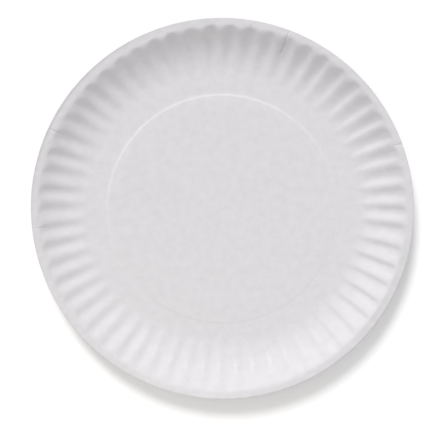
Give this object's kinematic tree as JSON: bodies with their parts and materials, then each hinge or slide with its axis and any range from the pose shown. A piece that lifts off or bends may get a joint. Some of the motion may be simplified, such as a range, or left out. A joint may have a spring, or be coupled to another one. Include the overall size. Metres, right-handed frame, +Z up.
{
  "type": "paper plate",
  "caption": "Round white paperboard plate with a fluted sloping wall, a narrow flat lip and a slightly raised flat centre, for serving food once.",
  "frame": {"origin": "on the plate's axis, at the underside of the foot ring", "axes": "+Z up along the plate's axis, out of its well; +Y to a flute's crest, the top of the plate in the picture; +X to a flute's floor"},
  "size_m": [0.2286, 0.2286, 0.0135],
  "materials": {
    "board": "uncoated, matt"
  },
  "bodies": {
    "root": {"plate": "board"}
  },
  "joints": []
}
